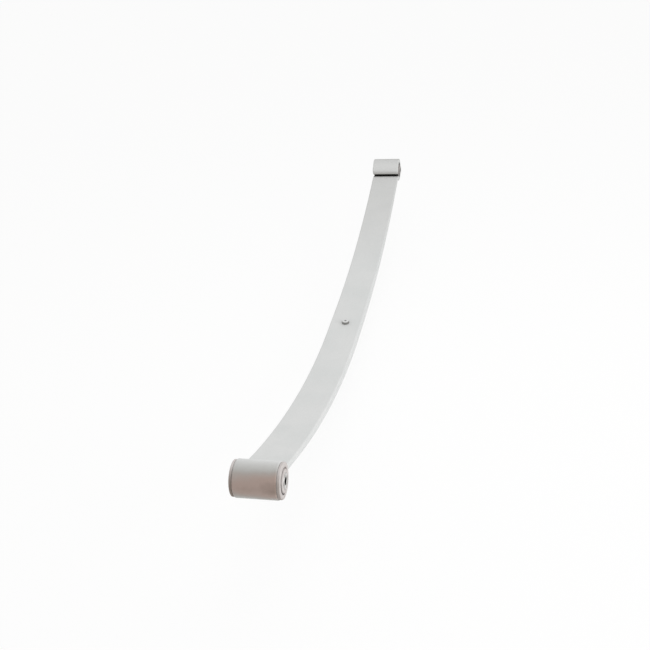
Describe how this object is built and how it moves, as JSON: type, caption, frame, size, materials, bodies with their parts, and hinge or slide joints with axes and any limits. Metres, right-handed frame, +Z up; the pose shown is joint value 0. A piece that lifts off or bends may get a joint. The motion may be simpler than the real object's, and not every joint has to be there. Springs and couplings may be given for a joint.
{
  "type": "leaf spring",
  "caption": "Tapered single-leaf suspension spring with a rolled eye at each end, rubber eye bushes on steel sleeves and a round-headed centre bolt.",
  "frame": {"origin": "middle of the upper seat face of the leaf, on the axis of the centre bolt, at the foot of its round head", "axes": "+X runs along the leaf from the front eye to the rear eye, +Y across its width, +Z up along the centre bolt, out of the hollow side of the leaf"},
  "size_m": [1.46, 0.085, 0.194],
  "materials": {
    "leaf_paint": "satin grey paint on rolled spring steel",
    "bush_rubber": "moulded rubber under a light grey overspray",
    "sleeve_steel": "turned steel tube, zinc plated",
    "fastener_steel": "cold-forged steel with a dark zinc phosphate, lightly misted with the leaf's paint"
  },
  "bodies": {
    "leaf": {"main_leaf": "leaf_paint", "centre_bolt": "fastener_steel", "centre_nut": "fastener_steel"},
    "front_eye": {"front_bush_left": "bush_rubber", "front_bush_right": "bush_rubber"},
    "front_sleeve": {"front_inner_sleeve": "sleeve_steel"},
    "rear_eye": {"rear_bush_shell": "sleeve_steel", "rear_bush_rubber": "bush_rubber"},
    "rear_sleeve": {"rear_inner_sleeve": "sleeve_steel"}
  },
  "joints": [
    {"name": "front_arm_flex", "type": "hinge", "parent": "leaf", "child": "front_eye", "pos_m": [-0.209, 0, 0.0023], "axis": [0, -1, 0], "range_deg": [-2.5, 15], "stiffness_Nm_per_rad": 10700, "deforming": ["main_leaf"]},
    {"name": "front_bush_twist", "type": "hinge", "parent": "front_eye", "child": "front_sleeve", "pos_m": [-0.7, 0, 0.134], "axis": [0, 1, 0], "range_deg": [-20, 20], "stiffness_Nm_per_rad": 280},
    {"name": "rear_arm_flex", "type": "hinge", "parent": "leaf", "child": "rear_eye", "pos_m": [0.209, 0, -0.0035], "axis": [0, 1, 0], "range_deg": [-2.5, 15], "stiffness_Nm_per_rad": 10700, "deforming": ["main_leaf"]},
    {"name": "rear_bush_twist", "type": "hinge", "parent": "rear_eye", "child": "rear_sleeve", "pos_m": [0.7, 0, 0.088], "axis": [0, 1, 0], "range_deg": [-30, 30], "stiffness_Nm_per_rad": 165}
  ]
}
